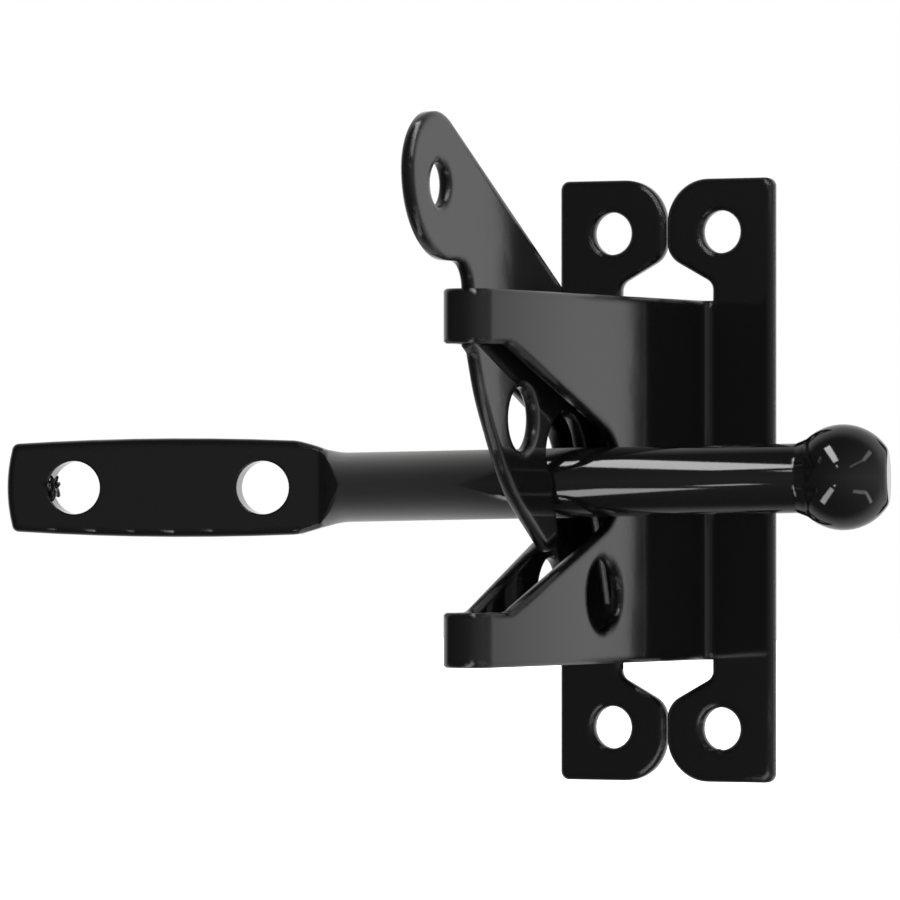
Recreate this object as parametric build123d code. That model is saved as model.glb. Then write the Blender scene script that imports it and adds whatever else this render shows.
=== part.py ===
from build123d import *
import math
import os

os.makedirs("parts", exist_ok=True)

# Gate latch. X runs along the gate toward the ball, -Y leaves the post, Z is up and Y = 0 is
# the face of the post. Sizes are in mm.

# Housing sheet
sheet = 1.9
flange_edge = 17.15
flange_top = 44.45
wall_top = 26.45
root_half = 6.5
root_y = -2.95
nose_half = 3.5
nose_y = -71.45
nose_radius = 3.0
bend_radius = 1.05
bend_x = 7.55

# Ears of the flanges and the relief notches beside the bends
ear_tip = 0.2
ear_low = 33.08
ear_slope = math.radians(28.6)
ear_radius = 6.5
ear_low_radius = 3.5
relief_radius = 1.7
corner_radius = 1.3

# Holes in the housing
screw_radius = 3.15
screw_x = 8.8
screw_z = 36.6
padlock_radius = 5.35
padlock_y = -34.3
padlock_z = -16.6

# Notch that guides the bar
notch_half = 18.8
notch_angle = math.radians(21.75)
notch_corner = 6.0
throat_radius = 8.27
throat_y = -37.4

# Lever plate and the rivet it swings on
plate = 1.9
pivot_y = -10.5
boss_radius = 8.6
shank_radius = 3.0
running_gap = 0.05
head_radius = 4.4
head_height = 1.4
head_edge = 0.6
lobe_y = -80.15
lobe_z = 42.55
lobe_radius = 8.1
lobe_low_y = -75.85
lobe_low_radius = 12.4
cord_y = -79.4
cord_z = 40.6
cord_radius = 3.1
window_y = -52.9
window_z = 8.45
window_radius = 4.6
neck_y = -69.3
neck_fillet = 3.8
crown_y = -38.7
crown_z = 3.1
crown_radius = 6.35

# Strike bar. Distances along it start where its axis crosses the lever's plane.
bar_y = -36.25
bar_z = -0.51
bar_yaw = 17.5
bar_rise = 1.107
rod_radius = 5.0
ball_at = 39.8
ball_radius = 7.6
ball_flat_at = 46.35
ball_rim_radius = 1.5
neck_bevel = 0.9
palm_z = -1.17
palm_end = -81.65
palm_root = -35.7
palm_tip = -32.7
palm_thick = 4.8
palm_edge = 1.2
palm_hole_radius = 3.85
palm_holes = (-71.65, -43.93)

# Broken width of the sheared edges under the coat
sheared = 0.3


def rounded(face, radius, *corners):
    # Rounds the corners of a face that lie nearest the given points.
    for corner in corners:
        nearest = face.vertices().sort_by_distance(corner)[0]
        face = fillet(nearest, radius)
    return face


def wall_half(y):
    # Half the housing's width over its walls, which lean together toward the nose.
    return nose_half + (root_half - nose_half) * (y - nose_y) / (root_y - nose_y)


def folded_walls():
    # The fold from above: flange, wall, nose, wall, flange, all in one thickness of sheet.
    lean = math.atan((root_half - nose_half) / (root_y - nose_y))
    inset = sheet / math.cos(lean)
    skin = [
        (bend_x + 2, 0),
        (bend_x + 2, -sheet),
        (wall_half(-sheet), -sheet),
        (nose_half, nose_y),
    ]
    lining = [
        (nose_half - inset, nose_y + sheet),
        (wall_half(0) - inset, 0),
    ]
    other_skin = [(-x, y) for x, y in reversed(skin)]
    other_lining = [(-x, y) for x, y in reversed(lining)]
    face = make_face(Polyline(*skin, *other_skin, *other_lining, *lining, close=True))
    for side in (1, -1):
        face = rounded(face, nose_radius, (side * nose_half, nose_y, 0))
        face = rounded(face, nose_radius - sheet, (side * (nose_half - inset), nose_y + sheet, 0))
        face = rounded(face, bend_radius, (side * wall_half(-sheet), -sheet, 0))
        face = rounded(face, bend_radius + sheet, (side * (wall_half(0) - inset), 0, 0))
    walls = extrude(face, wall_top, both=True)
    rims = walls.edges().filter_by(lambda edge: abs(abs(edge.center().Z) - wall_top) < 0.01)
    ends = rims.filter_by(lambda edge: abs(abs(edge.center().X) - bend_x - 2) < 0.01)
    return chamfer(rims - ends, sheared)


def flange():
    # The right flange with its two D-shaped ears.
    relief_z = ear_low - (bend_x - ear_tip) * math.tan(ear_slope)
    upper = [
        (bend_x, relief_z),
        (ear_tip, ear_low),
        (ear_tip, flange_top),
        (flange_edge, flange_top),
    ]
    lower = [(x, -z) for x, z in reversed(upper)]
    face = make_face(Polyline(*upper, *lower, close=True))
    for side in (1, -1):
        face = rounded(face, relief_radius, (bend_x, side * relief_z, 0))
        face = rounded(face, ear_low_radius, (ear_tip, side * ear_low, 0))
        face = rounded(face, ear_radius, (ear_tip, side * flange_top, 0))
        face = rounded(face, corner_radius, (flange_edge, side * flange_top, 0))
    blank = extrude(Plane.XZ * face, sheet)
    blank = chamfer(blank.edges().filter_by(Axis.Y, reverse=True), sheared)
    for side in (1, -1):
        blank -= Pos(screw_x, 0, side * screw_z) * Rot(90, 0, 0) * Cylinder(screw_radius, 4 * sheet)
    return blank


def notch():
    # The V between the straps runs in a tangent into the round throat that holds the bar.
    touch_y = throat_y + throat_radius * math.sin(notch_angle)
    touch_z = throat_radius * math.cos(notch_angle)
    corner_y = touch_y - (notch_half - touch_z) / math.tan(notch_angle)
    upper = [(nose_y - 5, notch_half), (corner_y, notch_half), (touch_y, touch_z)]
    lower = [(y, -z) for y, z in reversed(upper)]
    face = make_face(Polyline(*upper, *lower, close=True))
    face = rounded(face, notch_corner, (corner_y, notch_half, 0), (corner_y, -notch_half, 0))
    face += Pos(throat_y, 0) * Circle(throat_radius)
    return extrude(Plane.YZ * face, flange_edge, both=True)


def through_walls(y, z, radius):
    return extrude(Plane.YZ * Pos(y, z) * Circle(radius), flange_edge, both=True)


def in_notch(edge):
    # True for the edges that the notch, the padlock hole and the screw holes leave on the sheet.
    middle = edge @ 0.5
    if abs(middle.Z) > wall_top:
        return edge.geom_type == GeomType.CIRCLE and abs(edge.radius - screw_radius) < 0.01
    across = edge.tangent_at(0.5)
    return middle.Y < -10 and abs(middle.Z) < wall_top - 2 * sheared and abs(across.X) < 0.9


def build_housing():
    body = folded_walls() + flange() + mirror(flange(), about=Plane.YZ)
    body -= notch()
    body -= through_walls(padlock_y, padlock_z, padlock_radius)
    cut = [edge for edge in body.edges() if in_notch(edge)]
    body = chamfer(cut, sheared)
    body -= through_walls(pivot_y, 0, shank_radius)
    return body


def lever_outline():
    # Straight back edge, tangent to the pivot boss and the thumb lobe
    reach = math.hypot(lobe_z, pivot_y - lobe_y)
    fall = math.atan2(lobe_z, pivot_y - lobe_y)
    up = math.pi / 2 - fall + math.asin((boss_radius - lobe_radius) / reach)
    lobe_top = (lobe_y + lobe_radius * math.cos(up), lobe_z + lobe_radius * math.sin(up))
    boss_top = (pivot_y + boss_radius * math.cos(up), boss_radius * math.sin(up))
    back = Line(boss_top, lobe_top)

    # Thumb lobe and neck
    lobe_left = (lobe_y - lobe_radius, lobe_z)
    lobe_foot = (lobe_low_y, lobe_z - lobe_low_radius)
    neck_start = (neck_y - neck_fillet, lobe_foot[1])
    neck_top = (neck_y, lobe_foot[1] - neck_fillet)
    neck_end = (neck_y, 18.3)
    cam_start = (-67.75, 17.4)
    lobe_up = TangentArc(lobe_top, lobe_left, tangent=back % 1)
    lobe_down = TangentArc(lobe_left, lobe_foot, tangent=(0, -1))
    sill = Line(lobe_foot, neck_start)
    hollow = TangentArc(neck_start, neck_top, tangent=(1, 0))
    neck = Line(neck_top, neck_end)
    step = Line(neck_end, cam_start)

    # Cam edge down to the finger's tip
    cam_end = (-45.8, -9.2)
    cam = Spline(
        cam_start,
        (-65.5, 11.8),
        (-62.2, 6.4),
        (-58.7, 1.4),
        (-54.1, -3.5),
        (-49.9, -6.4),
        cam_end,
        tangents=[(0.37, -0.93), (0.84, -0.54)],
    )
    finger_low = (-41.1, -7.0)
    tip = Spline(cam_end, (-43.7, -10.35), (-41.75, -9.5), finger_low, tangents=[(0.84, -0.54), (-0.2, 1)])

    # Finger's inner edge, the slot's round crown, and the leg's front edge
    finger_top = (crown_y - crown_radius, crown_z + 0.6)
    leg_top = (-32.75, 5.6)
    leg_low = (-22.9, -18.0)
    crown = ThreePointArc(finger_top, (crown_y, crown_z + crown_radius), leg_top)
    finger = Spline(finger_low, (-42.7, -2.1), (-43.3, 0.7), finger_top, tangents=[(-0.2, 1), crown % 0])
    leg = Spline(
        leg_top,
        (-27.4, -5.35),
        (-24.5, -12.9),
        leg_low,
        tangents=[crown % 1, (0.27, -0.96)],
    )

    # Foot of the leg and the boss
    foot = (-19.6, -22.5)
    heel = Line(leg_low, foot)
    gap = math.hypot(foot[0] - pivot_y, foot[1])
    turn = math.atan2(foot[1], foot[0] - pivot_y) + math.acos(boss_radius / gap)
    calf_end = (pivot_y + boss_radius * math.cos(turn), boss_radius * math.sin(turn))
    calf = Line(foot, calf_end)
    boss = ThreePointArc(calf_end, (pivot_y + boss_radius, 0), boss_top)
    edges = [back, lobe_up, lobe_down, sill, hollow, neck, step, cam, tip, finger, crown, leg]
    face = make_face(edges + [heel, calf, boss])
    face = rounded(face, 0.5, (*neck_end, 0), (*cam_start, 0))
    face = rounded(face, 1.0, (*leg_low, 0))
    face = rounded(face, 2.5, (*foot, 0))
    return face


def build_lever():
    blade = extrude(Plane.YZ * lever_outline(), plate / 2, both=True)
    blade = chamfer(blade.edges().filter_by(Axis.X, reverse=True), sheared)
    blade -= through_walls(cord_y, cord_z, cord_radius)
    blade -= through_walls(window_y, window_z, window_radius)
    blade -= through_walls(pivot_y, 0, shank_radius + running_gap)
    return chamfer(blade.edges().filter_by(lambda edge: edge.is_closed), sheared)


def build_rivet():
    # A plain shank with a low head on each wall. Each head's flat side leans with its wall.
    lean = math.degrees(math.atan((root_half - nose_half) / (root_y - nose_y)))
    head = Pos(0, 0, head_height / 2) * Cylinder(head_radius, head_height)
    head = chamfer(head.edges().sort_by(Axis.Z)[-1], head_edge)
    seat = Pos(wall_half(pivot_y), pivot_y, 0) * Rot(0, 0, -lean) * Rot(0, 90, 0)
    head = seat * head
    shank = Pos(0, pivot_y, 0) * Rot(0, 90, 0) * Cylinder(shank_radius, 2 * wall_half(pivot_y))
    return shank + head + mirror(head, about=Plane.YZ)


def turned_rod():
    # Flared root, straight rod and flattened ball, as one turned profile.
    flat = math.sqrt(ball_radius**2 - (ball_flat_at - ball_at) ** 2)
    meet = ball_at - math.sqrt(ball_radius**2 - rod_radius**2)
    root = (-38.7, 6.65)
    cone_end = (-34.4, 5.42)
    rod_start = (-31.46, rod_radius)
    cone = Line(root, cone_end)
    flare = TangentArc(cone_end, rod_start, tangent=cone % 1)
    ball = ThreePointArc((meet, rod_radius), (ball_at, ball_radius), (ball_flat_at, flat))
    outline = [
        Line((root[0], 0), root),
        cone,
        flare,
        Line(rod_start, (meet, rod_radius)),
        ball,
        Line((ball_flat_at, flat), (ball_flat_at, 0)),
        Line((ball_flat_at, 0), (root[0], 0)),
    ]
    face = make_face(outline)
    face = chamfer(face.vertices().sort_by_distance((meet, rod_radius, 0))[0], neck_bevel)
    face = rounded(face, ball_rim_radius, (ball_flat_at, flat, 0))
    return revolve(face, axis=Axis.X)


def palm():
    # The rod's end pressed flat: slightly barrelled sides and a slightly bowed end.
    corner = (-80.75, 6.35)
    low_corner = (corner[0], -corner[1])
    side = ThreePointArc(corner, (-61.0, 7.1), (-39.6, 6.8))
    shoulder = Spline((-39.6, 6.8), (-37.8, 6.45), (-35.2, 5.6), tangents=[(1, -0.06), (0.85, -0.4)])
    end = ThreePointArc(low_corner, (palm_end, 0), corner)
    root = Line((-35.2, -5.6), (-35.2, 5.6))
    half = [side, shoulder]
    face = make_face(half + [mirror(line, about=Plane.XZ) for line in half] + [end, root])
    face = rounded(face, 1.0, (*corner, 0), (*low_corner, 0))
    blank = extrude(Plane.XZ * face, palm_thick / 2, both=True)
    broad = blank.faces().filter_by(Axis.Y)
    rims = [edge for rim in broad for edge in rim.edges() if edge.center().X < palm_root - 0.3]
    return fillet(rims, palm_edge)


def build_bar():
    heading = math.radians(bar_yaw)
    along = Vector(math.cos(heading), math.sin(heading), 0)
    level = Plane(origin=(0, bar_y, 0), x_dir=along, z_dir=(0, 0, 1))

    # Ramps that press the flared root down to the palm's two faces
    half = palm_thick / 2
    rise = (rod_radius - half) / (palm_tip - palm_root)
    clear = 2 * ball_radius
    upper = [(-45, half), (palm_root, half), (palm_root + (clear - half) / rise, clear), (60, clear)]
    lower = [(s, -n) for s, n in reversed(upper)]
    ramps = extrude(make_face(Polyline(*upper, *lower, close=True)), 20, both=True)
    rod = Pos(0, 0, bar_z) * Rot(0, -bar_rise, 0) * turned_rod()
    body = (rod & ramps) + Pos(0, 0, palm_z) * palm()
    for s in palm_holes:
        body -= Pos(s, 0, palm_z) * Rot(90, 0, 0) * Cylinder(palm_hole_radius, 4 * palm_thick)
    return level.location * body


for name, build in (
    ("housing", build_housing),
    ("lever", build_lever),
    ("pivot_rivet", build_rivet),
    ("strike_bar", build_bar),
):
    export_step(build(), f"parts/{name}.step")
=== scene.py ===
import math
import bmesh
import bpy
from mathutils import Matrix, Vector, noise


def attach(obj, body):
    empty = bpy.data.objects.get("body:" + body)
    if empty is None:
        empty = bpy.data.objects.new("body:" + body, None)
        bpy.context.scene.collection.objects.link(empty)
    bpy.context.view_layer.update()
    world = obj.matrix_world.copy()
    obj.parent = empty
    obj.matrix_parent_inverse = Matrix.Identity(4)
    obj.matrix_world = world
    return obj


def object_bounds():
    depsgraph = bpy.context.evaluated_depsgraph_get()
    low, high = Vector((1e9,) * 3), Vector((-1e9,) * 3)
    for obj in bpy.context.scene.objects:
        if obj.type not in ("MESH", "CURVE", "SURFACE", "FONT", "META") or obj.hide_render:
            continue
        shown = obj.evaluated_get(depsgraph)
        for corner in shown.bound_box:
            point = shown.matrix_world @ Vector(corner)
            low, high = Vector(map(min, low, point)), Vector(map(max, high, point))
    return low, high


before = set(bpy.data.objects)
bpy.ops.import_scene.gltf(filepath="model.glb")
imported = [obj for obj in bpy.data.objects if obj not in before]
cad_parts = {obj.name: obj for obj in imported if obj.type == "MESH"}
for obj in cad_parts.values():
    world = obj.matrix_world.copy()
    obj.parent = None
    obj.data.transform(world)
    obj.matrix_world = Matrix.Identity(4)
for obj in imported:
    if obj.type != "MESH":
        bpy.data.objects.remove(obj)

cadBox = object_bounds()
scene = bpy.context.scene
millimetres = 1000.0
bumpUnit = 0.00001
print("scene: frame loaded")


def newNode(tree, kind, **values):
    # One node, with its properties and the values of its named or numbered sockets
    node = tree.nodes.new(kind)
    for key, value in values.items():
        if hasattr(node, key):
            setattr(node, key, value)
        else:
            node.inputs[key.replace("_", " ")].default_value = value
    return node


def newGroup(name, inputs, outputs):
    # An empty shader group with named float inputs and typed outputs
    tree = bpy.data.node_groups.new(name, "ShaderNodeTree")
    for label, value in inputs.items():
        socket = tree.interface.new_socket(label, in_out="INPUT", socket_type="NodeSocketFloat")
        socket.default_value = value
    for label, kind in outputs.items():
        tree.interface.new_socket(label, in_out="OUTPUT", socket_type=kind)
    return tree, tree.nodes.new("NodeGroupInput"), tree.nodes.new("NodeGroupOutput")


def makeWetCoat():
    # Height of a sprayed coat: broad sag of the film and fine orange peel. Sizes are in millimetres and
    # depths in hundredths of a millimetre.
    inputs = {"Sag Size": 9.0, "Sag Depth": 0.5, "Peel Size": 1.4, "Peel Depth": 0.2}
    tree, start, end = newGroup("wetCoat", inputs, {"Height": "NodeSocketFloat"})
    link = tree.links.new
    place = newNode(tree, "ShaderNodeTexCoord")
    layers = []
    for size, depth, detail in (("Sag Size", "Sag Depth", 1.0), ("Peel Size", "Peel Depth", 2.0)):
        scale = newNode(tree, "ShaderNodeMath", operation="DIVIDE")
        scale.inputs[0].default_value = millimetres
        link(start.outputs[size], scale.inputs[1])
        grain = newNode(tree, "ShaderNodeTexNoise", Detail=detail, Roughness=0.45)
        link(place.outputs["Object"], grain.inputs["Vector"])
        link(scale.outputs[0], grain.inputs["Scale"])
        height = newNode(tree, "ShaderNodeMath", operation="MULTIPLY")
        link(grain.outputs["Fac"], height.inputs[0])
        link(start.outputs[depth], height.inputs[1])
        layers.append(height)
    total = newNode(tree, "ShaderNodeMath", operation="ADD")
    link(layers[0].outputs[0], total.inputs[0])
    link(layers[1].outputs[0], total.inputs[1])
    link(total.outputs[0], end.inputs["Height"])
    return tree


def makeThinEdge():
    # A mask that is 1 where the coat has drawn back from a sharp edge and 0 on open faces. It begins
    # where the rounded normal leaves the face's by about 8 degrees and is full at about 37.
    inputs = {"Reach": 0.4, "Break Size": 3.0}
    tree, start, end = newGroup("thinEdge", inputs, {"Mask": "NodeSocketFloat"})
    link = tree.links.new
    reach = newNode(tree, "ShaderNodeMath", operation="MULTIPLY")
    reach.inputs[1].default_value = 1 / millimetres
    link(start.outputs["Reach"], reach.inputs[0])
    soft = newNode(tree, "ShaderNodeBevel", samples=6)
    link(reach.outputs[0], soft.inputs["Radius"])
    shape = newNode(tree, "ShaderNodeNewGeometry")
    facing = newNode(tree, "ShaderNodeVectorMath", operation="DOT_PRODUCT")
    link(soft.outputs["Normal"], facing.inputs[0])
    link(shape.outputs["Normal"], facing.inputs[1])
    bend = newNode(tree, "ShaderNodeMapRange")
    bend.inputs["From Min"].default_value = 0.99
    bend.inputs["From Max"].default_value = 0.8
    link(facing.outputs["Value"], bend.inputs["Value"])
    place = newNode(tree, "ShaderNodeTexCoord")
    scale = newNode(tree, "ShaderNodeMath", operation="DIVIDE")
    scale.inputs[0].default_value = millimetres
    link(start.outputs["Break Size"], scale.inputs[1])
    grain = newNode(tree, "ShaderNodeTexNoise", Detail=2.0)
    link(place.outputs["Object"], grain.inputs["Vector"])
    link(scale.outputs[0], grain.inputs["Scale"])
    ragged = newNode(tree, "ShaderNodeMath", operation="MULTIPLY")
    link(bend.outputs["Result"], ragged.inputs[0])
    link(grain.outputs["Fac"], ragged.inputs[1])
    link(ragged.outputs[0], end.inputs["Mask"])
    return tree


def makeDullStretch():
    # A mask that is 1 over a stretch of a piece along X and 0 beyond its two soft ends, in millimetres.
    # Away from the height Middle each end moves on by its Spread for each millimetre.
    inputs = {"Begin": -36.0, "Begin Soft": 2.0, "Begin Spread": 0.0}
    inputs.update({"End": -20.0, "End Soft": 8.0, "End Spread": 0.0, "Middle": 0.0})
    tree, start, end = newGroup("dullStretch", inputs, {"Mask": "NodeSocketFloat"})
    link = tree.links.new
    place = newNode(tree, "ShaderNodeTexCoord")
    parts = newNode(tree, "ShaderNodeSeparateXYZ")
    link(place.outputs["Object"], parts.inputs[0])
    along = newNode(tree, "ShaderNodeMath", operation="MULTIPLY")
    along.inputs[1].default_value = millimetres
    link(parts.outputs["X"], along.inputs[0])
    tall = newNode(tree, "ShaderNodeMath", operation="MULTIPLY")
    tall.inputs[1].default_value = millimetres
    link(parts.outputs["Z"], tall.inputs[0])
    off = newNode(tree, "ShaderNodeMath", operation="SUBTRACT")
    link(tall.outputs[0], off.inputs[0])
    link(start.outputs["Middle"], off.inputs[1])
    gap = newNode(tree, "ShaderNodeMath", operation="ABSOLUTE")
    link(off.outputs[0], gap.inputs[0])
    sides = []
    for name, first, last in (("Begin", 0.0, 1.0), ("End", 1.0, 0.0)):
        move = newNode(tree, "ShaderNodeMath", operation="MULTIPLY")
        link(gap.outputs[0], move.inputs[0])
        link(start.outputs[name + " Spread"], move.inputs[1])
        where = newNode(tree, "ShaderNodeMath", operation="SUBTRACT")
        link(along.outputs[0], where.inputs[0])
        link(move.outputs[0], where.inputs[1])
        far = newNode(tree, "ShaderNodeMath", operation="ADD")
        link(start.outputs[name], far.inputs[0])
        link(start.outputs[name + " Soft"], far.inputs[1])
        side = newNode(tree, "ShaderNodeMapRange", interpolation_type="SMOOTHSTEP")
        link(where.outputs[0], side.inputs["Value"])
        link(start.outputs[name], side.inputs["From Min"])
        link(far.outputs[0], side.inputs["From Max"])
        side.inputs["To Min"].default_value = first
        side.inputs["To Max"].default_value = last
        sides.append(side)
    both = newNode(tree, "ShaderNodeMath", operation="MULTIPLY")
    link(sides[0].outputs["Result"], both.inputs[0])
    link(sides[1].outputs["Result"], both.inputs[1])
    link(both.outputs[0], end.inputs["Mask"])
    return tree


def makeBowedWall():
    # Height of a wall that curls in toward its front end along Y: where it starts and how far it reaches
    # in millimetres, and the lean it adds at the front end in degrees. The height is a cube of the way
    # to the front, in hundredths of a millimetre, so that its slope there is the lean.
    inputs = {"Front": -70.0, "Reach": 20.0, "Lean": 5.0}
    tree, start, end = newGroup("bowedWall", inputs, {"Height": "NodeSocketFloat"})
    link = tree.links.new
    place = newNode(tree, "ShaderNodeTexCoord")
    parts = newNode(tree, "ShaderNodeSeparateXYZ")
    link(place.outputs["Object"], parts.inputs[0])
    along = newNode(tree, "ShaderNodeMath", operation="MULTIPLY")
    along.inputs[1].default_value = millimetres
    link(parts.outputs["Y"], along.inputs[0])
    back = newNode(tree, "ShaderNodeMath", operation="ADD")
    link(start.outputs["Front"], back.inputs[0])
    link(start.outputs["Reach"], back.inputs[1])
    left = newNode(tree, "ShaderNodeMapRange")
    left.inputs["To Min"].default_value = 1.0
    left.inputs["To Max"].default_value = 0.0
    link(along.outputs[0], left.inputs["Value"])
    link(start.outputs["Front"], left.inputs["From Min"])
    link(back.outputs[0], left.inputs["From Max"])
    cubed = newNode(tree, "ShaderNodeMath", operation="POWER")
    cubed.inputs[1].default_value = 3.0
    link(left.outputs["Result"], cubed.inputs[0])
    slope = newNode(tree, "ShaderNodeMath", operation="MULTIPLY")
    slope.inputs[1].default_value = -math.radians(1.0) / 3 * 100
    link(start.outputs["Lean"], slope.inputs[0])
    depth = newNode(tree, "ShaderNodeMath", operation="MULTIPLY")
    link(slope.outputs[0], depth.inputs[0])
    link(start.outputs["Reach"], depth.inputs[1])
    height = newNode(tree, "ShaderNodeMath", operation="MULTIPLY")
    link(cubed.outputs[0], height.inputs[0])
    link(depth.outputs[0], height.inputs[1])
    link(height.outputs[0], end.inputs["Height"])
    return tree


wetCoat = makeWetCoat()
thinEdge = makeThinEdge()
dullStretch = makeDullStretch()
bowedWall = makeBowedWall()


def makeGloss(name, finish):
    # Gloss black enamel over steel; where a dull stretch is given, with a painted sheen on its aslant top
    # and bottom
    material = bpy.data.materials.new(name)
    material.use_nodes = True
    tree = material.node_tree
    link = tree.links.new
    paint = tree.nodes["Principled BSDF"]
    paint.inputs["IOR"].default_value = finish["gloss"]

    coat = newNode(tree, "ShaderNodeGroup", node_tree=wetCoat)
    for label in ("Sag Size", "Sag Depth", "Peel Size", "Peel Depth"):
        coat.inputs[label].default_value = finish[label]
    bump = newNode(tree, "ShaderNodeBump", Strength=1.0, Distance=bumpUnit)
    softened = newNode(tree, "ShaderNodeBevel", samples=8, Radius=finish["edgeRadius"])
    link(softened.outputs["Normal"], bump.inputs["Normal"])
    height = coat.outputs["Height"]
    if "Lean" in finish:
        bow = newNode(tree, "ShaderNodeGroup", node_tree=bowedWall)
        for label in ("Front", "Reach", "Lean"):
            bow.inputs[label].default_value = finish[label]
        total = newNode(tree, "ShaderNodeMath", operation="ADD")
        link(height, total.inputs[0])
        link(bow.outputs["Height"], total.inputs[1])
        height = total.outputs[0]
    link(height, bump.inputs["Height"])
    link(bump.outputs["Normal"], paint.inputs["Normal"])

    edge = newNode(tree, "ShaderNodeGroup", node_tree=thinEdge)
    edge.inputs["Reach"].default_value = finish["edgeReach"]
    shade = newNode(tree, "ShaderNodeMix", data_type="RGBA")
    shade.inputs[6].default_value = (*finish["colour"], 1)
    shade.inputs[7].default_value = (*finish["edgeColour"], 1)
    link(edge.outputs["Mask"], shade.inputs["Factor"])
    link(shade.outputs[2], paint.inputs["Base Color"])

    place = newNode(tree, "ShaderNodeTexCoord")
    cloud = newNode(tree, "ShaderNodeTexNoise", Scale=140.0, Detail=3.0)
    link(place.outputs["Object"], cloud.inputs["Vector"])
    haze = newNode(tree, "ShaderNodeMapRange")
    haze.inputs["To Min"].default_value = finish["roughLow"]
    haze.inputs["To Max"].default_value = finish["roughHigh"]
    link(cloud.outputs["Fac"], haze.inputs["Value"])
    if "dullRough" not in finish:
        link(haze.outputs["Result"], paint.inputs["Roughness"])
        return material

    dull = newNode(tree, "ShaderNodeGroup", node_tree=dullStretch)
    for label in ("Begin", "Begin Soft", "Begin Spread", "End", "End Soft", "End Spread", "Middle"):
        dull.inputs[label].default_value = finish[label]
    rough = newNode(tree, "ShaderNodeMix", data_type="FLOAT")
    link(dull.outputs["Mask"], rough.inputs[0])
    link(haze.outputs["Result"], rough.inputs[2])
    rough.inputs[3].default_value = finish["dullRough"]
    link(rough.outputs[0], paint.inputs["Roughness"])
    shine = newNode(tree, "ShaderNodeMix", data_type="FLOAT")
    link(dull.outputs["Mask"], shine.inputs[0])
    shine.inputs[2].default_value = 0.5
    shine.inputs[3].default_value = finish["dullShine"]
    link(shine.outputs[0], paint.inputs["Specular IOR Level"])

    # Painted sheen: over the dull stretch the colour turns paler along the top and bottom where it is seen
    # aslant, standing in for reflected light
    aslant = newNode(tree, "ShaderNodeLayerWeight", Blend=0.5)
    axes = newNode(tree, "ShaderNodeSeparateXYZ")
    link(place.outputs["Normal"], axes.inputs[0])
    square = newNode(tree, "ShaderNodeMath", operation="MULTIPLY")
    link(axes.outputs["Z"], square.inputs[0])
    link(axes.outputs["Z"], square.inputs[1])
    rest = newNode(tree, "ShaderNodeMath", operation="SUBTRACT")
    rest.inputs[0].default_value = 1.0
    link(square.outputs[0], rest.inputs[1])
    level = newNode(tree, "ShaderNodeMath", operation="SQRT")
    link(rest.outputs[0], level.inputs[0])
    rim = newNode(tree, "ShaderNodeMath", operation="SUBTRACT")
    rim.inputs[0].default_value = 1.0
    link(level.outputs[0], rim.inputs[1])
    least = newNode(tree, "ShaderNodeMath", operation="MINIMUM")
    link(aslant.outputs["Facing"], least.inputs[0])
    link(rim.outputs[0], least.inputs[1])
    paintedSheen = newNode(tree, "ShaderNodeMath", operation="POWER")
    paintedSheen.inputs[1].default_value = 1.5
    link(least.outputs[0], paintedSheen.inputs[0])
    sheenBlend = newNode(tree, "ShaderNodeMix", data_type="RGBA")
    sheenBlend.inputs[6].default_value = (*finish["dryColour"], 1)
    sheenBlend.inputs[7].default_value = (*finish["paintedSheenColour"], 1)
    link(paintedSheen.outputs[0], sheenBlend.inputs["Factor"])
    whole = newNode(tree, "ShaderNodeMix", data_type="RGBA")
    link(dull.outputs["Mask"], whole.inputs["Factor"])
    link(shade.outputs[2], whole.inputs[6])
    link(sheenBlend.outputs[2], whole.inputs[7])
    link(whole.outputs[2], paint.inputs["Base Color"])
    return material


def dress(node, material):
    # Gives a CAD node its finish
    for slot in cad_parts[node].material_slots:
        slot.material = material
    print("scene:", node, "finished")


housingFinish = {
    "colour": (0.003, 0.003, 0.0031),
    "edgeColour": (0.006, 0.006, 0.006),
    "gloss": 1.5,
    "roughLow": 0.04,
    "roughHigh": 0.08,
    "Sag Size": 14.0,
    "Sag Depth": 2.0,
    "Peel Size": 1.6,
    "Peel Depth": 0.12,
    "edgeRadius": 0.0014,
    "edgeReach": 0.5,
    "Front": -70.0,
    "Reach": 32.0,
    "Lean": 10.0,
}
dress("housing", makeGloss("housingEnamel", housingFinish))

leverFinish = {
    "colour": (0.003, 0.003, 0.0031),
    "edgeColour": (0.006, 0.006, 0.006),
    "gloss": 1.5,
    "roughLow": 0.04,
    "roughHigh": 0.08,
    "Sag Size": 10.0,
    "Sag Depth": 2.0,
    "Peel Size": 1.4,
    "Peel Depth": 0.12,
    "edgeRadius": 0.0015,
    "edgeReach": 0.5,
}
dress("lever", makeGloss("leverEnamel", leverFinish))

rivetFinish = {
    "colour": (0.003, 0.003, 0.0031),
    "edgeColour": (0.006, 0.006, 0.006),
    "gloss": 1.5,
    "roughLow": 0.04,
    "roughHigh": 0.08,
    "Sag Size": 6.0,
    "Sag Depth": 1.0,
    "Peel Size": 1.2,
    "Peel Depth": 0.12,
    "edgeRadius": 0.0004,
    "edgeReach": 0.3,
}
dress("pivot_rivet", makeGloss("rivetEnamel", rivetFinish))

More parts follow.
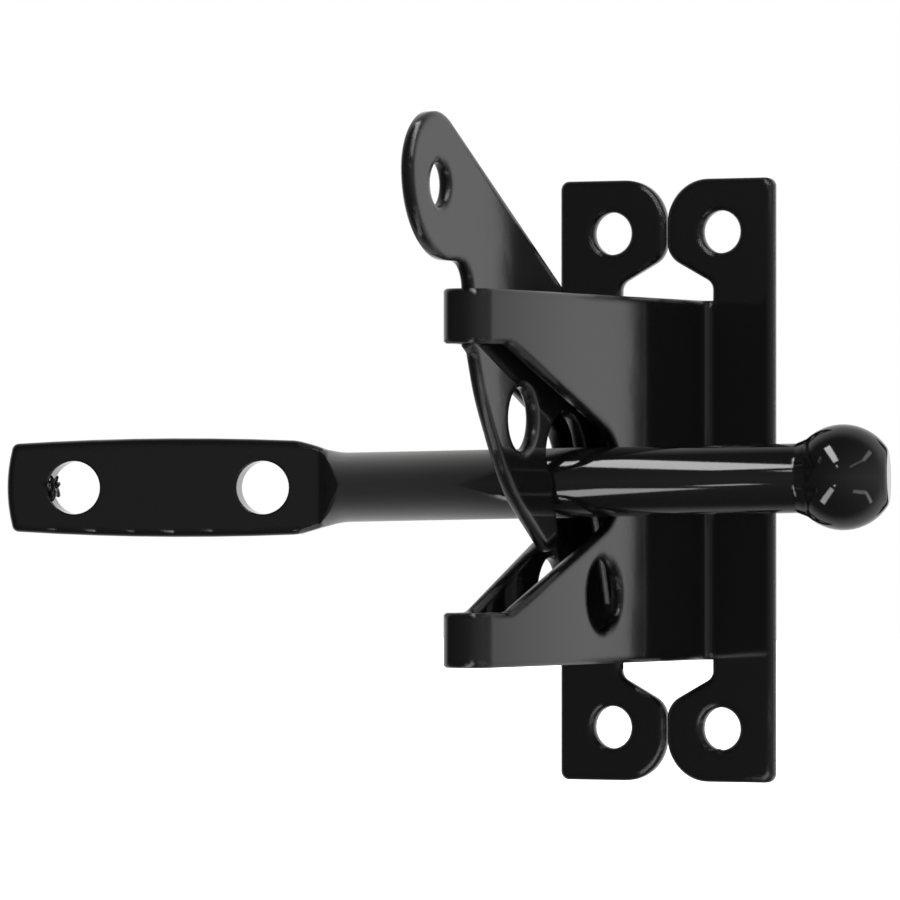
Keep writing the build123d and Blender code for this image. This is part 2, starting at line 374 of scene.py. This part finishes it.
barFinish = {
    "colour": (0.003, 0.003, 0.0031),
    "edgeColour": (0.006, 0.006, 0.006),
    "gloss": 1.5,
    "roughLow": 0.04,
    "roughHigh": 0.08,
    "Sag Size": 12.0,
    "Sag Depth": 1.6,
    "Peel Size": 0.8,
    "Peel Depth": 0.16,
    "edgeRadius": 0.0006,
    "edgeReach": 0.4,
    "dullRough": 0.6,
    "dullShine": 0.12,
    "dryColour": (0.019, 0.019, 0.019),
    # The painted sheen's paler colour, on the aslant top and bottom of the dull stretch
    "paintedSheenColour": (0.49, 0.483, 0.476),
    "Begin": -29.5,
    "Begin Soft": 0.5,
    "Begin Spread": -0.65,
    "End": -14.7,
    "End Soft": 3.2,
    "End Spread": 2.8,
    "Middle": -0.8,
}
dress("strike_bar", makeGloss("barEnamel", barFinish))


# Beads of dried paint, as lumpy drops: where each one is, its half sizes along X, Y and Z, how much
# narrower its lower end is, and how lumpy it is, in millimetres
paintBeads = {
    "screwHoleDrip": {
        "middle": (8.65, -1.85, -40.3),
        "half": (0.80, 0.40, 0.75),
        "pinch": 0.9,
        "lumps": 0.0,
        "like": "housing",
    },
    "palmHoleBurr": {
        "middle": (-70.85, -60.3, -1.2),
        "half": (0.95, 1.0, 1.4),
        "pinch": 0.0,
        "lumps": 0.9,
        "like": "strike_bar",
    },
    "flangeNib": {
        "middle": (8.0, -1.9, 7.9),
        "half": (0.22, 0.12, 0.22),
        "pinch": 0.0,
        "lumps": 0.1,
        "like": "housing",
    },
    "edgeNib": {
        "middle": (16.4, -1.75, -36.0),
        "half": (0.24, 0.2, 0.30),
        "pinch": 0.0,
        "lumps": 0.1,
        "like": "housing",
    },
}


def makeBead(name, values):
    build = bmesh.new()
    bmesh.ops.create_icosphere(build, subdivisions=4, radius=1.0)
    for vertex in build.verts:
        x, y, z = vertex.co
        swell = 1.0 + values["lumps"] * noise.noise(vertex.co * 1.7)
        thin = 1.0 - values["pinch"] * (1.0 - z) / 2
        shape = (x * thin * swell, y * thin * swell, z * swell)
        vertex.co = [(c + s * h) / millimetres for c, s, h in zip(values["middle"], shape, values["half"])]
    for face in build.faces:
        face.smooth = True
    mesh = bpy.data.meshes.new(name)
    build.to_mesh(mesh)
    build.free()
    mesh.materials.append(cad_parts[values["like"]].material_slots[0].material)
    bead = bpy.data.objects.new(name, mesh)
    scene.collection.objects.link(bead)
    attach(bead, "latch")


for name, values in paintBeads.items():
    makeBead(name, values)
print("scene: beads of paint made")

# Camera
cameraValues = {
    "place": (0.4447, -0.9863, -0.0052),
    "turn": (90.0, 0.0, 26.0),
    "lens": 292.3,
    "sensor": 36.0,
    "shiftUp": 0.0728,
}


def makeCamera(values):
    data = bpy.data.cameras.new("camera")
    data.sensor_width = values["sensor"]
    data.lens = values["lens"]
    data.shift_y = values["shiftUp"]
    data.clip_start = 0.05
    data.clip_end = 20.0
    camera = bpy.data.objects.new("camera", data)
    camera.location = values["place"]
    camera.rotation_euler = [math.radians(angle) for angle in values["turn"]]
    scene.collection.objects.link(camera)
    scene.camera = camera


makeCamera(cameraValues)
print("scene: camera placed")


# Studio: a white room that is dark on the side the object faces, with four soft boxes round the camera
studio = {
    "faces": (0.438, -0.899, 0.0),
    "right": (0.899, 0.438, 0.0),
    "whiteFull": -0.5,
    "whiteTurn": 0.18,
    "darkFrom": 0.0,
    "white": 1.1,
    "whiteAloft": 0.5,
    "darkLeft": 0.06,
    "darkRight": 0.55,
    "darkAloft": 0.7,
    "fill": 0.8,
    "floorDrop": 0.035,
    "floorSide": 6.0,
    "floorColour": (0.86, 0.86, 0.86),
}


def compare(tree, sight, aim):
    # How far a direction of sight points along aim, from -1 to 1
    node = newNode(tree, "ShaderNodeVectorMath", operation="DOT_PRODUCT")
    node.inputs[1].default_value = aim
    tree.links.new(sight, node.inputs[0])
    return node.outputs["Value"]


def fade(tree, value, low, high, first, last, steps="LINEAR"):
    # Maps value from low..high to first..last
    node = newNode(tree, "ShaderNodeMapRange", interpolation_type=steps)
    for socket, number in (("From Min", low), ("From Max", high), ("To Min", first), ("To Max", last)):
        node.inputs[socket].default_value = number
    tree.links.new(value, node.inputs["Value"])
    return node.outputs["Result"]


def times(tree, first, second):
    node = newNode(tree, "ShaderNodeMath", operation="MULTIPLY")
    tree.links.new(first, node.inputs[0])
    tree.links.new(second, node.inputs[1])
    return node.outputs[0]


def makeWorld(values):
    world = bpy.data.worlds.new("whiteRoom")
    scene.world = world
    world.use_nodes = True
    tree = world.node_tree
    tree.nodes.clear()
    link = tree.links.new
    white = (1.0, 1.0, 1.0, 1.0)
    sight = newNode(tree, "ShaderNodeTexCoord").outputs["Generated"]
    turned = Vector(values["faces"]) - Vector(values["right"]) * values["whiteTurn"]
    front = compare(tree, sight, turned)
    side = compare(tree, sight, values["right"])
    upright = newNode(tree, "ShaderNodeMath", operation="ABSOLUTE")
    link(compare(tree, sight, (0.0, 0.0, 1.0)), upright.inputs[0])
    aloft = upright.outputs[0]

    bright = fade(tree, aloft, 0.0, 1.0, values["white"], values["whiteAloft"])
    dark = times(
        tree,
        fade(tree, side, -1.0, 1.0, values["darkLeft"], values["darkRight"]),
        fade(tree, aloft, 0.0, 1.0, 1.0, 1.0 - values["darkAloft"]),
    )
    blend = newNode(tree, "ShaderNodeMix", data_type="FLOAT")
    link(fade(tree, front, values["whiteFull"], values["darkFrom"], 0.0, 1.0, "SMOOTHSTEP"), blend.inputs[0])
    link(bright, blend.inputs[2])
    link(dark, blend.inputs[3])
    room = newNode(tree, "ShaderNodeBackground", Color=white)
    link(blend.outputs[0], room.inputs["Strength"])

    fill = newNode(tree, "ShaderNodeBackground", Color=white, Strength=values["fill"])
    back = newNode(tree, "ShaderNodeBackground", Color=white, Strength=1.0)
    path = newNode(tree, "ShaderNodeLightPath")
    seen = newNode(tree, "ShaderNodeMath", operation="MAXIMUM")
    link(path.outputs["Is Camera Ray"], seen.inputs[0])
    link(path.outputs["Is Transmission Ray"], seen.inputs[1])
    shine = newNode(tree, "ShaderNodeMixShader")
    link(path.outputs["Is Glossy Ray"], shine.inputs[0])
    link(fill.outputs[0], shine.inputs[1])
    link(room.outputs[0], shine.inputs[2])
    whole = newNode(tree, "ShaderNodeMixShader")
    link(seen.outputs[0], whole.inputs[0])
    link(shine.outputs[0], whole.inputs[1])
    link(back.outputs[0], whole.inputs[2])
    out = newNode(tree, "ShaderNodeOutputWorld")
    link(whole.outputs[0], out.inputs["Surface"])


makeWorld(studio)


def makeFloor(values):
    side = values["floorSide"] / 2
    level = cadBox[0][2] - values["floorDrop"]
    mesh = bpy.data.meshes.new("floor")
    corners = [(-side, -side, level), (side, -side, level), (side, side, level), (-side, side, level)]
    mesh.from_pydata(corners, [], [(0, 1, 2, 3)])
    floor = bpy.data.objects.new("floor", mesh)
    scene.collection.objects.link(floor)
    material = bpy.data.materials.new("paleFloor")
    material.use_nodes = True
    tree = material.node_tree
    link = tree.links.new
    matte = tree.nodes["Principled BSDF"]
    matte.inputs["Base Color"].default_value = (*values["floorColour"], 1)
    matte.inputs["Roughness"].default_value = 0.9
    matte.inputs["Specular IOR Level"].default_value = 0.1
    matte.inputs["Emission Color"].default_value = (1, 1, 1, 1)
    path = newNode(tree, "ShaderNodeLightPath")
    link(path.outputs["Is Camera Ray"], matte.inputs["Emission Strength"])
    room = newNode(tree, "ShaderNodeBsdfTransparent")
    through = newNode(tree, "ShaderNodeMath", operation="MAXIMUM")
    link(path.outputs["Is Glossy Ray"], through.inputs[0])
    link(path.outputs["Is Shadow Ray"], through.inputs[1])
    seen = newNode(tree, "ShaderNodeMixShader")
    link(through.outputs[0], seen.inputs[0])
    link(matte.outputs[0], seen.inputs[1])
    link(room.outputs[0], seen.inputs[2])
    link(seen.outputs[0], tree.nodes["Material Output"].inputs["Surface"])
    mesh.materials.append(material)


makeFloor(studio)

# Each light is a strip between two directions as the bar's ball sees them: degrees away from the camera
# and degrees round the camera's axis, counted from the right. Sizes and distances are in metres.
softBoxes = {
    "upperLeft": {"ends": ((38.0, 118.5), (80.0, 119.0)), "away": 0.13, "wide": 0.024, "bright": 10.0},
    "lowerLeft": {"ends": ((36.0, 223.0), (77.0, 230.0)), "away": 0.13, "wide": 0.021, "bright": 6.0},
    "upperRightNear": {"ends": ((24.0, 63.0), (55.8, 41.7)), "away": 0.40, "wide": 0.020, "bright": 1.5},
    "upperRightFar": {"ends": ((55.8, 41.7), (85.7, 43.7)), "away": 0.40, "wide": 0.045, "bright": 2.0},
    "lowerRightNear": {"ends": ((35.5, -58.6), (57.8, -34.8)), "away": 0.40, "wide": 0.045, "bright": 2.0},
    "lowerRightFar": {"ends": ((57.8, -34.8), (87.3, -42.6)), "away": 0.40, "wide": 0.035, "bright": 2.5},
    "upperGlint": {"ends": ((26.0, 125.5), (31.0, 124.5)), "away": 0.13, "wide": 0.006, "bright": 8.0},
    "lowerGlint": {"ends": ((25.5, 220.5), (30.0, 219.5)), "away": 0.13, "wide": 0.006, "bright": 8.0},
}
ballPlace = (0.0235, 0.0, 0.0385)


def onStage(place):
    # A place to the right of, above and in front of the origin as the camera sees it
    across, above, ahead = place
    return Vector(studio["right"]) * across + Vector((0, 0, above)) + Vector(studio["faces"]) * ahead


def lookAlong(away, turn):
    away, turn = math.radians(away), math.radians(turn)
    return onStage((math.cos(turn) * math.sin(away), math.sin(turn) * math.sin(away), math.cos(away)))


def makeSoftBox(name, values):
    ball = onStage(ballPlace)
    near, far = (ball + lookAlong(*end) * values["away"] for end in values["ends"])
    data = bpy.data.lights.new(name, "AREA")
    data.shape = "RECTANGLE"
    data.size = values["wide"]
    data.size_y = (far - near).length
    data.energy = values["bright"] * math.pi * data.size * data.size_y
    lamp = bpy.data.objects.new(name, data)
    lamp.location = (near + far) / 2
    length = (far - near).normalized()
    back = lamp.location - ball
    back = (back - length * back.dot(length)).normalized()
    axes = Matrix((length.cross(back), length, back)).transposed()
    lamp.rotation_euler = axes.to_euler()
    lamp.visible_camera = False
    scene.collection.objects.link(lamp)


for name, values in softBoxes.items():
    makeSoftBox(name, values)

# Two dark cards that the camera doesn't see. One, behind and to the right, darkens the far part of the side
# faces, and the other, where the post would be, darkens what shows between the walls.
darkCards = {
    "sideCard": {
        "left": 0.045,
        "right": 0.080,
        "back": 0.1056,
        "low": -0.070,
        "high": 0.075,
        "shade": (0.06, 0.06, 0.06),
    },
    "postCard": {
        "left": -0.009,
        "right": 0.0062,
        "back": 0.003,
        "low": -0.028,
        "high": 0.0255,
        "shade": (0.03, 0.03, 0.03),
    },
}


def makeCard(name, values):
    mesh = bpy.data.meshes.new(name)
    left, right, back = values["left"], values["right"], values["back"]
    low, high = values["low"], values["high"]
    corners = [(left, back, low), (right, back, low), (right, back, high), (left, back, high)]
    mesh.from_pydata(corners, [], [(0, 1, 2, 3)])
    card = bpy.data.objects.new(name, mesh)
    scene.collection.objects.link(card)
    material = bpy.data.materials.new(name)
    material.use_nodes = True
    matte = material.node_tree.nodes["Principled BSDF"]
    matte.inputs["Base Color"].default_value = (*values["shade"], 1)
    matte.inputs["Roughness"].default_value = 1.0
    matte.inputs["Specular IOR Level"].default_value = 0.0
    mesh.materials.append(material)
    card.visible_camera = False
    card.visible_diffuse = False
    card.visible_shadow = False


for name, values in darkCards.items():
    makeCard(name, values)

scene.view_settings.view_transform = "Standard"
print("scene: studio lit")
